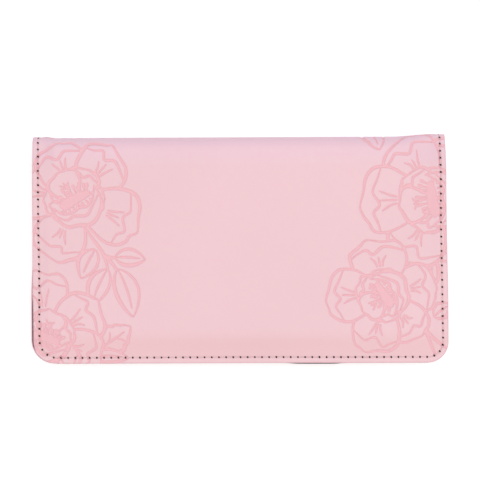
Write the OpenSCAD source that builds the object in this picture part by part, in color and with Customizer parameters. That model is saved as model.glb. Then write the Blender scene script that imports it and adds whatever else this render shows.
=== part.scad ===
// Slim passport and document wallet that folds along its long top edge.
// It lies closed on its back cover: +X runs along the fold, +Y points to the fold,
// +Z points from the back face up to the front face. The origin is the middle of the back face.
//
// Both covers are the same sandwich: leathercloth skin outside, stiffening board, lining inside.
// Heights in a cover are depths below its own outer face, and the front cover is the back
// cover's mirror image. Skin and lining are single sheets on the real wallet. Here each is
// cut at the two bending lines of the fold, 45 degrees either side of its outermost line.

/* [Cover] */
// Width of the closed wallet, side to side
cover_w = 172; // [160:1:210]
// Depth of the closed wallet, from its open edge to the fold
cover_d = 93.5; // [76:0.5:115]
// Thickness of the closed wallet, back face to front face
closed_t = 10.4; // [8.6:0.1:14]
// Radius of the two free corners at the open edge
corner_r = 8.8; // [6:0.1:14]

/* [Layers] */
// Thickness of the outer leathercloth
skin_t = 0.7; // [0.5:0.05:1]
// Thickness of the stiffening boards and of the tape in the spine
board_t = 0.8; // [0.5:0.05:1.2]
// Thickness of the lining cloth
lining_t = 0.3; // [0.2:0.05:0.5]
// Thickness of the pocket panels
pocket_t = 0.5; // [0.4:0.05:0.8]
// Thickness of a card slot panel and of the window frame
card_t = 0.4; // [0.3:0.05:0.6]
// Thickness of the clear window film
film_t = 0.2; // [0.1:0.05:0.3]

/* [Boards] */
// Distance from a cover's edge to its board
board_margin = 5.5; // [4:0.1:8]
// Distance that a board stops short of the fold
board_setback = 1.2; // [0.6:0.1:4]
// Clearance between a board and the lining around it
board_fit = 0.2; // [0.1:0.05:0.4]
// Gap between the covers and the spine at the two bending lines
bend_gap = 0.3; // [0.2:0.05:0.5]

/* [Seams] */
// Distance from the edge to the middle of the edge seam
seam_inset = 2.4; // [2:0.1:3.2]
// Width of the channel that the edge seam lies in
channel_w = 0.8; // [0.6:0.05:1]
// Depth of that channel
channel_depth = 0.35; // [0.2:0.05:0.45]
// Width of a row of thread
thread_w = 0.5; // [0.3:0.05:0.55]
// Thickness of a row of thread
thread_t = 0.2; // [0.1:0.05:0.2]
// Distance from a pocket's mouth to its hem seam
hem_inset = 2; // [1.5:0.1:3]

/* [Pockets] */
// Distance from the fold to the mouth of the two full-width pockets
pocket_setback = 9; // [6:0.5:14]
// Radius of the thumb notch in the passport pocket
notch_r = 11; // [8:0.5:14]
// Width inside the card slots
card_slot_w = 92; // [88:1:96]
// Distance from the document pocket's mouth to the upper card slot's mouth
card_setback = 9; // [6:0.5:12]
// Distance from one card slot's mouth to the next
card_step = 11; // [8:0.5:12]
// Distance from the dividing seam to the edges of the panels that it holds
divider_margin = 1.4; // [1:0.1:2]

/* [Window] */
// Width of the clear opening
window_w = 50; // [44:1:54]
// Distance from the opening to the frame's mouth and to the cover's open edge
window_margin = 9; // [7:0.5:11]
// Radius of the opening's corners
window_r = 4; // [2:0.5:6]
// Distance that the film reaches behind the frame
film_lap = 3; // [2:0.5:4]

/* [Hidden] */

$fn = 96;
fold_r = closed_t / 2;             // outer radius of the fold
fold_y = cover_d / 2 - fold_r;     // where the flat covers end and the fold begins
open_y = -cover_d / 2;             // the open edge
side_x = cover_w / 2;              // the side edges are at plus and minus this

board_d = skin_t;                  // depth at which each layer starts
lining_d = board_d + board_t;
pocket_d = lining_d + lining_t;
card_d = pocket_d + pocket_t;

pocket_mouth = fold_y - pocket_setback;
card_mouth = pocket_mouth - card_setback;
divider_x = -side_x + seam_inset + card_slot_w;
frame_x = divider_x + 2 * divider_margin;
window_x = (frame_x + side_x - seam_inset) / 2;
window_low = open_y + window_margin;
window_h = card_mouth - window_margin - window_low;
row_clear = seam_inset + channel_w; // inner seams stop this far from the edges
groove_w = thread_w + 0.1;          // an inner seam is pressed into a groove this wide

// ---------- helpers ----------

// Turns a drawing of the side view (Y, Z) into a bar along X
module along_x(length) rotate([90, 0, 90]) linear_extrude(length, center = true) children();

// Moves a cover drawn as the back cover to the front
module front_side() translate([0, 0, closed_t]) mirror([0, 0, 1]) children();

// A flat sheet that starts at a depth below the cover's outer face
module sheet(depth, thickness) translate([0, 0, depth]) linear_extrude(thickness) children();

// A block between two limits along each axis
module block(x, y, z)
    translate([x[0], y[0], z[0]]) cube([x[1] - x[0], y[1] - y[0], z[1] - z[0]]);

// Outline of a cover, inset on its three free sides, square at its upper end
module outline(inset = 0, upper = fold_y) {
    r = corner_r - inset;
    x = side_x - inset;
    y = open_y + inset;
    translate([-x, y + r]) square([2 * x, upper - y - r]);
    translate([-x + r, y]) square([2 * (x - r), r]);
    for (side = [-1, 1]) translate([side * (x - r), y + r]) circle(r);
}

// The part of a cover's outline between two sides and below a mouth
module panel(left, right, mouth) intersection() {
    outline(upper = fold_y);
    translate([left, open_y]) square([right - left, mouth - open_y]);
}

module rounded_rect(w, h, r) {
    translate([-w / 2 + r, -h / 2]) square([w - 2 * r, h]);
    translate([-w / 2, -h / 2 + r]) square([w, h - 2 * r]);
    for (x = [-1, 1], y = [-1, 1]) translate([x * (w / 2 - r), y * (h / 2 - r)]) circle(r);
}

// Side view of the fold between two depths
module fold_ring(depth, inner) translate([fold_y, fold_r]) difference() {
    circle(fold_r - depth);
    circle(fold_r - inner);
}

// Side view of the back cover's share of the fold, up to the bending line
module lip_profile(depth, inner) intersection() {
    fold_ring(depth, inner);
    translate([fold_y, fold_r - bend_gap / 2 / sin(45)])
        polygon([[0, 0], [2 * fold_r, -2 * fold_r], [0, -2 * fold_r]]);
}

// Side view of the spine's share, between the two bending lines
module spine_profile(depth, inner) intersection() {
    fold_ring(depth, inner);
    translate([fold_y + bend_gap / 2 / sin(45), fold_r])
        polygon([[0, 0], [2 * fold_r, -2 * fold_r], [2 * fold_r, 2 * fold_r]]);
}

// Band that the edge seam follows round the three free sides
module edge_seam(width) difference() {
    outline(seam_inset - width / 2);
    outline(seam_inset + width / 2, fold_y + 1);
}

// The two stretches of edge seam that cross the fold
module at_both_ends() for (side = [-1, 1])
    translate([side * (side_x - seam_inset), 0, 0]) children();

// ---------- layers that both covers have ----------

module cover_skin() difference() {
    union() {
        sheet(0, skin_t) outline();
        along_x(cover_w) lip_profile(0, skin_t);
    }
    sheet(-1, 1 + channel_depth) edge_seam(channel_w);
    at_both_ends() along_x(channel_w) lip_profile(-1, channel_depth);
}

module cover_board() sheet(board_d, board_t) outline(board_margin, fold_y - board_setback);

// The lining's rim is its seam allowance, which closes the step round the board
module cover_lining() difference() {
    union() {
        sheet(board_d, board_t + lining_t) outline();
        along_x(cover_w) lip_profile(board_d, pocket_d);
    }
    sheet(board_d - 1, board_t + 1)
        outline(board_margin - board_fit, fold_y - board_setback + board_fit);
}

module cover_edge_thread() {
    sheet(channel_depth - thread_t, thread_t) edge_seam(thread_w);
    at_both_ends() along_x(thread_w) lip_profile(channel_depth - thread_t, channel_depth);
}

// ---------- back cover ----------

module back_outer_skin() color([0.93, 0.76, 0.79]) cover_skin();

module back_board() color([0.72, 0.66, 0.56]) cover_board();

module back_lining() color([0.25, 0.24, 0.26]) cover_lining();

// Hem seam of the passport pocket, which dips round the thumb notch
module notch_hem(width) difference() {
    union() {
        translate([-side_x + row_clear, pocket_mouth - hem_inset - width / 2])
            square([2 * (side_x - row_clear), width]);
        translate([0, pocket_mouth]) circle(notch_r + hem_inset + width / 2);
    }
    translate([0, pocket_mouth]) circle(notch_r + hem_inset - width / 2);
    translate([-side_x, pocket_mouth - hem_inset + width / 2]) square([2 * side_x, 3 * notch_r]);
}

module passport_pocket() color([0.9, 0.72, 0.76]) difference() {
    sheet(pocket_d, pocket_t) difference() {
        panel(-side_x, side_x, pocket_mouth);
        translate([0, pocket_mouth]) circle(notch_r);
    }
    sheet(card_d - thread_t, thread_t + 1) notch_hem(groove_w);
}

module passport_pocket_stitching() color([0.95, 0.85, 0.85])
    sheet(card_d - thread_t, thread_t) notch_hem(thread_w);

module back_edge_stitching() color([0.95, 0.85, 0.85]) cover_edge_thread();

// ---------- spine ----------

module spine_outer_skin() color([0.91, 0.73, 0.77]) difference() {
    along_x(cover_w) spine_profile(0, skin_t);
    at_both_ends() along_x(channel_w) spine_profile(-1, channel_depth);
}

module spine_tape() color([0.8, 0.76, 0.7])
    along_x(cover_w - 2 * board_margin) spine_profile(board_d, lining_d);

module spine_lining() color([0.25, 0.24, 0.26]) difference() {
    along_x(cover_w) spine_profile(board_d, pocket_d);
    along_x(cover_w - 2 * (board_margin - board_fit)) fold_ring(board_d - 1, lining_d);
}

module spine_end_stitching() color([0.95, 0.85, 0.85])
    at_both_ends() along_x(thread_w) spine_profile(channel_depth - thread_t, channel_depth);

// ---------- front cover ----------

module front_outer_skin() color([0.95, 0.8, 0.82]) front_side() cover_skin();

module front_board() color([0.72, 0.66, 0.56]) front_side() cover_board();

module front_lining() color([0.25, 0.24, 0.26]) front_side() cover_lining();

module front_edge_stitching() color([0.95, 0.85, 0.85]) front_side() cover_edge_thread();

// A straight hem seam just inside a mouth
module hem_row(left, right, mouth, top, width) block([left, right],
    [mouth - hem_inset - width / 2, mouth - hem_inset + width / 2], [top - thread_t, top]);

module document_pocket() color([0.9, 0.72, 0.76]) front_side() difference() {
    sheet(pocket_d, pocket_t) panel(-side_x, side_x, pocket_mouth);
    hem_row(-side_x + row_clear, side_x - row_clear, pocket_mouth, card_d, groove_w);
}

module document_pocket_stitching() color([0.95, 0.85, 0.85]) front_side()
    hem_row(-side_x + row_clear, side_x - row_clear, pocket_mouth, card_d, thread_w);

// Card slot panels lie on each other in steps: 0 is the upper one, next to the document pocket
function slot_mouth(step) = card_mouth - step * card_step;
function slot_top(step) = card_d + (step + 1) * card_t;

// The seams on one card panel: its hem, and its visible stretch of the dividing seam
module slot_seams(step, width) {
    top = slot_top(step);
    lower = step == 2 ? open_y + row_clear : slot_mouth(step + 1);
    hem_row(-side_x + row_clear, divider_x + width / 2, slot_mouth(step), top, width);
    block([divider_x - width / 2, divider_x + width / 2],
        [lower, slot_mouth(step) - hem_inset], [top - thread_t, top]);
}

module card_slot(step) front_side() difference() {
    sheet(slot_top(step) - card_t, card_t)
        panel(-side_x, divider_x + divider_margin, slot_mouth(step));
    slot_seams(step, groove_w);
}

module upper_card_slot() color([0.92, 0.75, 0.78]) card_slot(0);

module middle_card_slot() color([0.9, 0.72, 0.76]) card_slot(1);

module lower_card_slot() color([0.88, 0.69, 0.74]) card_slot(2);

module card_slot_stitching() color([0.95, 0.85, 0.85]) front_side()
    for (step = [0:2]) slot_seams(step, thread_w);

// The clear opening, or a line round it, grown on every side
module window_opening(grow = 0) translate([window_x, window_low + window_h / 2])
    rounded_rect(window_w + 2 * grow, window_h + 2 * grow, window_r + grow);

module window_seam(width) difference() {
    window_opening(hem_inset + width / 2);
    window_opening(hem_inset - width / 2);
}

module id_window_frame() color([0.9, 0.72, 0.76]) front_side() difference() {
    sheet(card_d + film_t, card_t) difference() {
        panel(frame_x, side_x, card_mouth);
        window_opening();
    }
    sheet(card_d + film_t + card_t - thread_t, thread_t + 1) window_seam(groove_w);
}

module id_window_film() color([0.85, 0.9, 0.92, 0.4]) front_side()
    sheet(card_d, film_t) window_opening(film_lap);

module id_window_stitching() color([0.95, 0.85, 0.85]) front_side()
    sheet(card_d + film_t + card_t - thread_t, thread_t) window_seam(thread_w);

back_outer_skin();
back_board();
back_lining();
passport_pocket();
passport_pocket_stitching();
back_edge_stitching();
spine_outer_skin();
spine_tape();
spine_lining();
spine_end_stitching();
front_outer_skin();
front_board();
front_lining();
document_pocket();
document_pocket_stitching();
upper_card_slot();
middle_card_slot();
lower_card_slot();
card_slot_stitching();
id_window_frame();
id_window_film();
id_window_stitching();
front_edge_stitching();
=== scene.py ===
import math

import bpy
import numpy as np
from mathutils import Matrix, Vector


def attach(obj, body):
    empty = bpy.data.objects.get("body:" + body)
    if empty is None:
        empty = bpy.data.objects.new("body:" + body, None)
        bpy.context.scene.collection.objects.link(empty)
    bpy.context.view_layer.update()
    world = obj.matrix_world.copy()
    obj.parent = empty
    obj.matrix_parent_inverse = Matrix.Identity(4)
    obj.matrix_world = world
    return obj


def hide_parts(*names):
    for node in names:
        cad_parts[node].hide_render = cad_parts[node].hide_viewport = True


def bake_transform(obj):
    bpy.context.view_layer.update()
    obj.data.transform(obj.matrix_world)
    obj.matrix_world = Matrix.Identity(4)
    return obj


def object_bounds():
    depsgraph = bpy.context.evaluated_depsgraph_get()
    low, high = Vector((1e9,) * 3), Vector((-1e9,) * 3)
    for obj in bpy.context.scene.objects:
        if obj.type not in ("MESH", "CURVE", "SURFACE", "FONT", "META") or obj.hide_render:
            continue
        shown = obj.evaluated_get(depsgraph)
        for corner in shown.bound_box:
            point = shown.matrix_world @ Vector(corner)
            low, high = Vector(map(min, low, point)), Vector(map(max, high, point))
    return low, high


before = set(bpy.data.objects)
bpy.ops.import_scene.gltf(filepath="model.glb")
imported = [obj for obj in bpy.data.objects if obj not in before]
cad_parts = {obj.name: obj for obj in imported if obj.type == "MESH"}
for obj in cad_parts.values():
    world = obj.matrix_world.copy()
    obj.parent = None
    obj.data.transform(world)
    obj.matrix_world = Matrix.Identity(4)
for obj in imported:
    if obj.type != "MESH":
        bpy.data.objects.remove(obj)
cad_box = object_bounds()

# ---------- Outer skin: front half and back half ----------
# One sheet of pale pink leathercloth, heat-pressed with a flower pattern and wrapped round the
# fold. It is modelled in two halves that meet on the crest of the fold. All lengths are in
# millimetres until the mesh is made.

MM = 0.001
low, high = [[v / MM for v in corner] for corner in cad_box]
half_w = high[0]
open_y = low[1]
closed_t = high[2]
# The fold is a half circle round fold_y. From its crest down to the open edge, a cover is a
# quarter turn of the fold and then flat, cover_s in all.
fold_r = closed_t / 2
fold_y = high[1] - fold_r
quarter = fold_r * math.pi / 2
cover_s = quarter + fold_y - open_y
skin_t = 0.7
seam_inset = 2.4
# The corners were trimmed by hand, the left one a little rounder.
left_r, right_r = 9.8, 8.6
# How deep the pattern, the seam margin, the seam's channel and its needle holes are pressed in,
# and how high the front cover's padding stands.
press_d, margin_d, channel_d, dimple_d, crown_h = 0.32, 0.5, 0.2, 0.2, 0.4


def smooth(t):
    """Eases from 0 to 1 as t goes from 0 to 1."""
    t = np.clip(t, 0, 1)
    return t * t * (3 - 2 * t)


def pinch(x):
    """How much the side seams pull the fold tighter at its two ends."""
    return 2.4 * smooth((x - 64) / 19) + 1.4 * smooth((-x - 76) / 5)


def lay(x, s, depth, side):
    """Places points of a sheet on the closed wallet, in metres. x runs across, s runs down the
    cover from the crest of the fold, and depth goes inwards from the outer face. side is 1 on
    the front cover and -1 on the back."""
    grip = pinch(x)
    r = fold_r - grip
    arc = r * math.pi / 2
    turn = np.minimum(s, arc) / r
    run = np.maximum(s - arc, 0)
    ease = smooth(1 - run / 15)
    # The sewing draws the right side in towards the fold, and lets the open edge there hang low.
    right = np.clip(x / half_w, 0, 1)
    drawn = 0.6 * right ** 2 * smooth((78 - s) / 50) + 0.3 * right ** 8 * np.exp(-(s / 5) ** 2)
    droop = 0.2 * smooth(x / 60) * smooth((s - 50) / 40)
    y = fold_y + quarter - arc + (r - depth) * np.cos(turn) - run - droop
    z = fold_r + side * ((r - depth) * np.sin(turn) + grip * (1 - ease))
    return np.stack([x - drawn, y, z], -1) * MM


def corner_at(x):
    """The corner radius on the side where x lies."""
    return np.where(np.asarray(x) < 0, left_r, right_r)


def lower_edge(x, inset=0.0):
    """Where a cover ends at its open edge, with its rounded corners."""
    r = corner_at(x) - inset
    past = np.clip(np.abs(x) - (half_w - corner_at(x)), 0, r)
    return cover_s - inset - r + np.sqrt(r * r - past * past)


def edge_distance(x, s):
    """Distance from the nearest of the three free edges."""
    r = corner_at(x)
    across = np.abs(x) - (half_w - r)
    down = s - (cover_s - r)
    round_corner = r - np.hypot(np.maximum(across, 0), np.maximum(down, 0))
    straight = np.minimum(half_w - np.abs(x), cover_s - s)
    return np.where((across > 0) & (down > 0), round_corner, straight)


# The pressing plate: a fine raster over the whole flat sheet, 1 where a line presses into the
# skin. Its rows count up from the front cover's open edge and on over the fold.
plate_step, plate_spare = 0.2, 1
plate_x = np.arange(-half_w - plate_spare, half_w + plate_spare, plate_step)
plate_h = np.arange(-plate_spare, 2 * cover_s + plate_spare, plate_step)
pen_edge = 0.3


def window_of(points, reach):
    """Rows and columns of the plate round some points."""
    first, last = points.min(0) - reach, points.max(0) + reach
    cols = slice(*np.searchsorted(plate_x, [first[0], last[0]]))
    rows = slice(*np.searchsorted(plate_h, [first[1], last[1]]))
    return rows, cols


def flowing(points, closed=False):
    """A smooth curve through the points, with ten steps between each two."""
    p = np.array(points, float)
    p = np.vstack([p[-1:], p, p[:2]]) if closed else np.vstack([p[:1], p, p[-1:]])
    t = np.linspace(0, 1, 10, endpoint=False)[:, None]
    spans = [b + t * (c - a) / 2 + t ** 2 * (a - 2.5 * b + 2 * c - d / 2)
             + t ** 3 * (-a + 3 * b - 3 * c + d) / 2
             for a, b, c, d in zip(p, p[1:], p[2:], p[3:])]
    return np.vstack(spans + [p[-2:-1]])


def press_line(plate, path, widest, thin=0.4, swell=0.5):
    """Presses a pen-like line that is thin at its ends and swells along the way. It goes six
    spans at a time, so that only the plate near them is touched."""
    along = np.linspace(0, 1, len(path))
    swelling = np.sin(math.pi * along ** (0.6 + 0.8 * swell)) ** 0.8
    width = widest * (thin + (1 - thin) * swelling)
    for i in range(0, len(path) - 1, 6):
        piece, w = path[i:i + 7], width[i:i + 7]
        rows, cols = window_of(piece, w.max())
        x, h = np.meshgrid(plate_x[cols], plate_h[rows])
        if not x.size:
            continue
        for a, b, wa, wb in zip(piece, piece[1:], w, w[1:]):
            d = b - a
            t = np.clip(((x - a[0]) * d[0] + (h - a[1]) * d[1]) / max(d @ d, 1e-9), 0, 1)
            off = np.hypot(x - a[0] - t * d[0], h - a[1] - t * d[1])
            mark = np.clip(((wa + t * (wb - wa)) / 2 - off) / pen_edge + 0.5, 0, 1)
            plate[rows, cols] = np.maximum(plate[rows, cols], mark)


def fill(plate, outline, value):
    """Sets everything inside a closed outline, to lift it clear (0) or press it in (1)."""
    rows, cols = window_of(outline, 0)
    x, h = np.meshgrid(plate_x[cols], plate_h[rows])
    inside = np.zeros(x.shape, bool)
    for a, b in zip(outline, np.roll(outline, -1, 0)):
        crosses = (a[1] > h) != (b[1] > h)
        rise = b[1] - a[1] if b[1] != a[1] else 1e-9
        inside ^= crosses & (x < (b[0] - a[0]) * (h - a[1]) / rise + a[0])
    plate[rows, cols][inside] = value


def petal(plate, base, heading, length, width, draw, vein_from, lip=0.2, veins=3):
    """One petal, drawn as two pen strokes that meet near its tip, with a wavy line where its
    lip turns over and a few veins."""
    a = math.radians(heading)
    ahead = np.array([math.cos(a), math.sin(a)])
    aside = np.array([-math.sin(a), math.cos(a)])

    def place(u, v):
        return base + u * length * ahead + v * width * aside

    def loosely(points, amount):
        return [place(u + amount * draw.uniform(-1, 1), v + 2 * amount * draw.uniform(-1, 1))
                for u, v in points]

    lean = draw.uniform(-0.3, 0.3)
    one = [(0.02, 0.08), (0.18, 0.44), (0.42, 0.84), (0.62, 1.0), (0.8, 0.96), (0.92, 0.7)]
    tip = [(0.97, 0.5 * (lean + 0.7)), (1.02, lean), (0.96, 0.5 * (lean - 0.7))]
    other = [(u, -v) for u, v in one[::-1]]
    outline = flowing(loosely(one, 0.025) + loosely(tip, 0.02) + loosely(other, 0.025))
    fill(plate, outline, 0)
    split = int(len(outline) * draw.uniform(0.46, 0.54))
    press_line(plate, outline[:split + 4], draw.uniform(0.9, 1.35), thin=0.25,
               swell=draw.uniform(0.3, 1))
    press_line(plate, outline[:split - 4:-1], draw.uniform(0.8, 1.25), thin=0.25,
               swell=draw.uniform(0.2, 0.9))
    if lip:
        inside = 1 - lip
        fold = [(inside - 0.02, 0.68), (inside + 0.05, 0.38), (inside - 0.04, 0.3 * lean + 0.1),
                (inside + 0.04, 0.3 * lean - 0.26), (inside - 0.02, -0.6)]
        fold = [outline[len(outline) // 4]] + loosely(fold, 0.025) + [outline[-len(outline) // 4]]
        press_line(plate, flowing(fold), draw.uniform(0.7, 1.1), thin=0.25, swell=draw.uniform(0, 1))
    for k in range(veins):
        v = (k - (veins - 1) / 2) * 0.2 + draw.uniform(-0.03, 0.03)
        end = vein_from + draw.uniform(0.14, 0.26)
        vein = flowing([place(vein_from, 0.5 * v), place(vein_from + 0.1, 0.8 * v),
                        place(end, 1.5 * v)])
        press_line(plate, vein, 0.7, thin=0.3, swell=0.2)


def flower(plate, x, h, reach, up, outer, seed, cup=1.0):
    """An open flower that faces a little sideways. Its outer petals are given by heading,
    length and half width. Inside them a cup of smaller petals holds a tuft of stamens."""
    draw = np.random.default_rng(seed)
    middle = np.array([x, h], float)
    a = math.radians(up)
    ahead = np.array([math.cos(a), math.sin(a)])
    aside = np.array([math.sin(a), -math.cos(a)])

    def place(v, u):
        return middle + cup * reach * (u * ahead + v * aside)

    for heading, length, width in outer:
        petal(plate, middle, heading, reach * length, reach * width, draw, 0.16 + 0.4 * cup)
    for turn, length, width, lip, veins in ((118, 0.5, 0.24, 0, 0), (-114, 0.52, 0.25, 0, 0),
                                            (60, 0.57, 0.28, 0.24, 0), (-48, 0.6, 0.3, 0.22, 0),
                                            (6, 0.58, 0.3, 0, 3)):
        petal(plate, middle, up + turn, cup * reach * length, cup * reach * width, draw, 0.45, lip,
              veins)
    tuft = flowing([place(v, u) for v, u in (
        (-0.3, 0.0), (-0.2, -0.08), (0.0, -0.06), (0.18, -0.05), (0.3, 0.01), (0.22, 0.08),
        (0.04, 0.1), (-0.14, 0.11), (-0.27, 0.07))], closed=True)
    fill(plate, tuft, 1)
    for v in np.linspace(-1, 1, 11) + draw.uniform(-0.05, 0.05, 11):
        top = (0.15 + 0.12 * (1 - v * v)) * draw.uniform(0.7, 1.15)
        stalk = [place(0.24 * v, 0.02), place(0.29 * v, 0.6 * top), place(0.33 * v, top)]
        press_line(plate, flowing(stalk), 0.55, thin=0.8)
        press_line(plate, np.array([place(0.31 * v, 0.8 * top), place(0.335 * v, top)]), 1.0, thin=1)
    for v in np.linspace(-0.85, 0.85, 7) + draw.uniform(-0.05, 0.05, 7):
        end = place(0.33 * v, draw.uniform(-0.16, -0.12))
        press_line(plate, np.array([place(0.3 * v, -0.1), end]), 0.75, thin=1)
    rim = [(-0.44, 0.06), (-0.32, -0.1), (-0.16, -0.17), (0.0, -0.15), (0.14, -0.19),
           (0.3, -0.1), (0.44, 0.08)]
    bowl = [(-0.44, 0.06), (-0.46, -0.16), (-0.36, -0.36), (-0.16, -0.42), (0.02, -0.51),
            (0.24, -0.43), (0.43, -0.2), (0.44, 0.08)]
    turned = [(-0.45, -0.08), (-0.3, -0.24), (-0.14, -0.24), (0.04, -0.33), (0.2, -0.24),
              (0.43, -0.08)]
    rim, bowl, turned = [flowing([place(v + draw.uniform(-0.02, 0.02), u) for v, u in run])
                         for run in (rim, bowl, turned)]
    fill(plate, np.vstack([rim, bowl[::-1]]), 0)
    press_line(plate, rim, 0.9, thin=0.35, swell=0.3)
    press_line(plate, bowl, 1.3, thin=0.3, swell=0.6)
    press_line(plate, turned, 1.0, thin=0.25, swell=0.7)


def leaf(plate, base, tip, width, bow=0.0, teeth=0, veins=0):
    """A pointed leaf with a midrib. Teeth notch its edge, and veins leave the midrib."""
    base, tip = np.array(base, float), np.array(tip, float)
    along = tip - base
    across = np.array([-along[1], along[0]]) / np.hypot(*along)
    t = np.linspace(0, 1, 40)
    belly = width / 2 * np.sin(math.pi * t ** 0.85) ** 0.8
    notch = 1 + 0.16 * np.abs(np.sin(math.pi * teeth * t)) if teeth else 1
    spine = base + t[:, None] * along + (bow * np.sin(math.pi * t))[:, None] * across
    one = spine + (belly * notch)[:, None] * across
    other = spine - (belly * notch)[:, None] * across
    fill(plate, np.vstack([one, other[::-1]]), 0)
    press_line(plate, one, 1.0, thin=0.3, swell=0.35)
    press_line(plate, other, 1.5, thin=0.25, swell=0.5)
    press_line(plate, spine[1:33], 0.8, thin=0.3)
    for k in range(veins):
        start = spine[8 + 7 * k]
        end = start + 0.16 * along + (0.3 if k % 2 else -0.3) * width * across
        press_line(plate, np.array([start, (start + end) / 2 + 0.03 * along, end]), 0.6, thin=0.3)


def stem(plate, points):
    """A stem through the points."""
    press_line(plate, flowing(points), 1.2, thin=0.5)


def planted_sheet():
    """The whole sheet's planting. Height runs from the front cover's open edge up to the crest
    of the fold and on down the back cover, so that plants grow over the fold unbroken."""
    far = 2 * cover_s
    plate = np.zeros((len(plate_h), len(plate_x)))
    # back cover, left and right as they lie under the front's
    stem(plate, [(-64, far - 50), (-58, far - 43), (-52, far - 36)])
    leaf(plate, (-60, far - 46), (-62, far - 32), 8, -0.8)
    leaf(plate, (-53, far - 38), (-41, far - 33), 7, 0.8)
    leaf(plate, (-52, far - 36), (-48, far - 21), 8, 0.6)
    flower(plate, -72, far - 72, 27, 250, [(88, 0.96, 0.4), (150, 1, 0.45), (230, 1, 0.5),
                                           (300, 1, 0.42), (20, 1, 0.48)], 51)
    flower(plate, -78, far - 14, 25, 300, [(30, 1, 0.5), (-28, 1, 0.42), (262, 1, 0.5),
                                           (85, 0.9, 0.4)], 67)
    stem(plate, [(72, far - 45), (77, far - 38), (82, far - 30)])
    leaf(plate, (77, far - 38), (84, far - 46), 6, 0.5)
    flower(plate, 77, far - 71, 27, 210, [(120, 0.95, 0.4), (185, 1, 0.48), (245, 1, 0.45),
                                          (300, 1, 0.5), (50, 0.9, 0.4)], 73)
    flower(plate, 62, far - 24, 23, 260, [(100, 1, 0.5), (170, 1, 0.46), (236, 1, 0.44),
                                          (300, 1, 0.46), (30, 1, 0.5)], 89)
    # over the fold
    leaf(plate, (53, cover_s + 5), (58, cover_s - 8.5), 8, 0.4, teeth=3, veins=1)
    # front cover, left
    stem(plate, [(-64, 56), (-59, 49), (-56.5, 45), (-54.5, 38.5)])
    stem(plate, [(-56.5, 45), (-53.5, 43.8), (-51.5, 44)])
    stem(plate, [(-57, 45.5), (-53.5, 42), (-50.5, 38)])
    leaf(plate, (-55, 39), (-61.5, 24), 8.4, -0.7)
    leaf(plate, (-50.5, 39), (-44.3, 19.3), 9.4, 0.9)
    leaf(plate, (-51.7, 44), (-39.3, 43), 6.8, 0.4)
    flower(plate, -68, 67.5, 26.5, 118, [(246, 0.98, 0.4), (166, 0.95, 0.42), (112, 0.93, 0.4),
                                         (50, 1.0, 0.4), (-22, 1.04, 0.42)], 4, 0.86)
    leaf(plate, (-60, 47.2), (-65.8, 35.3), 8, -0.4)
    leaf(plate, (-61, 5), (-45.5, 15.3), 11, -0.6, teeth=6, veins=3)
    leaf(plate, (-62, 2.5), (-46.5, 2.2), 5.5, 0.8)
    flower(plate, -80.5, 10.5, 25.5, 70, [(96, 1.08, 0.44), (30, 1.02, 0.42), (-20, 0.95, 0.36),
                                          (-56, 0.7, 0.3)], 15, 0.8)
    # front cover, right
    stem(plate, [(71, 22), (76, 14), (80.5, 3)])
    stem(plate, [(70, 23), (78, 12), (85, 6)])
    leaf(plate, (79, 31), (80.3, 43.5), 6, 0.4)
    leaf(plate, (80, 19), (87, 24), 5.5, 0.3, teeth=3)
    flower(plate, 80.5, 67.5, 29, 188, [(60, 0.95, 0.4), (300, 0.95, 0.4), (246, 0.98, 0.42),
                                        (118, 0.98, 0.42), (181, 1.04, 0.46)], 23, 0.86)
    flower(plate, 59.8, 28.3, 23.2, 214, [(12, 0.92, 0.42), (308, 0.98, 0.36), (256, 1.06, 0.42),
                                          (100, 0.98, 0.5), (182, 1.04, 0.46)], 36, 0.86)
    return plate


def pressed_at(plate, x, height):
    """Reads the plate between its cells."""
    col = (x - plate_x[0]) / plate_step
    row = (height - plate_h[0]) / plate_step
    i = np.clip(col.astype(int), 0, plate.shape[1] - 2)
    j = np.clip(row.astype(int), 0, plate.shape[0] - 2)
    u, v = col - i, row - j
    return ((plate[j, i] * (1 - u) + plate[j, i + 1] * u) * (1 - v)
            + (plate[j + 1, i] * (1 - u) + plate[j + 1, i + 1] * u) * v)


def graded_faces(limit, forced=None):
    """Faces over a grid of points. A face covers up to limit x limit cells, and takes in every
    point on its border that a finer neighbour uses, so that the sheet stays closed."""
    rows, cols = limit.shape
    leaves = []
    free = np.ones((rows, cols), bool)
    for size in (4, 2, 1):
        if rows % size or cols % size:
            continue
        shape = (rows // size, size, cols // size, size)
        fits = np.where(free, limit, 0).reshape(shape).min((1, 3)) >= size
        leaves += [(j * size, i * size, size) for j, i in np.argwhere(fits)]
        free &= ~np.repeat(np.repeat(fits, size, 0), size, 1)
    used = np.zeros((rows + 1, cols + 1), bool) if forced is None else forced.copy()
    for j, i, size in leaves:
        used[j, i] = used[j, i + size] = used[j + size, i] = used[j + size, i + size] = True
    faces = []
    stride = cols + 1
    for j, i, size in leaves:
        if size == 1:
            a = j * stride + i
            faces.append((a, a + stride, a + stride + 1, a + 1))
            continue
        ring = [(j + k, i) for k in range(size)]
        ring += [(j + size, i + k) for k in range(size)]
        ring += [(j + size - k, i + size) for k in range(size)]
        ring += [(j, i + size - k) for k in range(size)]
        faces.append(tuple(r * stride + c for r, c in ring if used[r, c]))
    return faces, used


def border_of(rows, cols):
    """Which points of a grid lie on its border, once round."""
    grid = np.arange((rows + 1) * (cols + 1)).reshape(rows + 1, cols + 1)
    return np.concatenate([grid[:-1, 0], grid[-1, :-1], grid[:0:-1, -1], grid[0, :0:-1]])


def finish_piece(name, data):
    """Puts a mesh, lamp or camera into the scene."""
    piece = bpy.data.objects.new(name, data)
    bpy.context.scene.collection.objects.link(piece)
    return piece


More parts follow.
